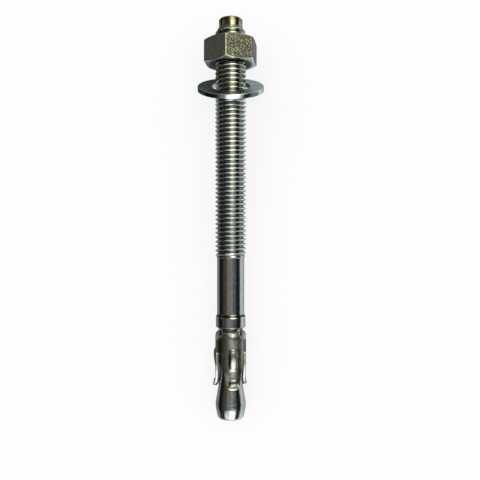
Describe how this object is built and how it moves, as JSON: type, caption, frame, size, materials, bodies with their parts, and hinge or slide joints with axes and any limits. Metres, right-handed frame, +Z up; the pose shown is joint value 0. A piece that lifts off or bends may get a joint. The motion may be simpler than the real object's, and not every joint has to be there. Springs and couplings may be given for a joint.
{
  "type": "wedge anchor",
  "caption": "Wedge anchor for concrete: threaded stud with an expansion cone, stamped expansion clip, loose flat washer and hexagon nut, lying on its side.",
  "frame": {"origin": "centre of the bounding box's bottom face, on the surface that the anchor lies on", "axes": "+Y runs along the anchor from the expansion cone towards the hammered end, which is 2.6 degrees above level; +Z is up; +X is to the right when the hammered end points away"},
  "size_m": [0.03, 0.1802, 0.0266],
  "materials": {
    "bolt_zinc": "bright zinc plating",
    "clip_steel": "satin grey stamped sheet",
    "washer_zinc": "zinc plating with fine radial streaks",
    "nut_zinc": "zinc plating, slightly yellow"
  },
  "bodies": {
    "bolt": {"anchor_bolt": "bolt_zinc"},
    "clip": {"expansion_clip": "clip_steel"},
    "washer": {"plain_washer": "washer_zinc"},
    "nut": {"hex_nut": "nut_zinc"}
  },
  "joints": [
    {"name": "clip_slide", "type": "slide", "parent": "bolt", "child": "clip", "axis": [0, 0.999, 0.0451], "range_m": [-0.0024, 0.0003]},
    {"name": "washer_slide", "type": "slide", "parent": "bolt", "child": "washer", "axis": [0, 0.999, 0.0451], "range_m": [-0.0861, 0.0036]},
    {"name": "nut_turn", "type": "hinge", "parent": "washer", "child": "nut", "pos_m": [0, 0.07483, 0.01394], "axis": [0, 0.999, 0.0451], "range_deg": [-15480, 630]}
  ],
  "couplings": [
    {"joint": "washer_slide", "follows": "nut_turn", "m_per_rad": 0.00031831}
  ]
}
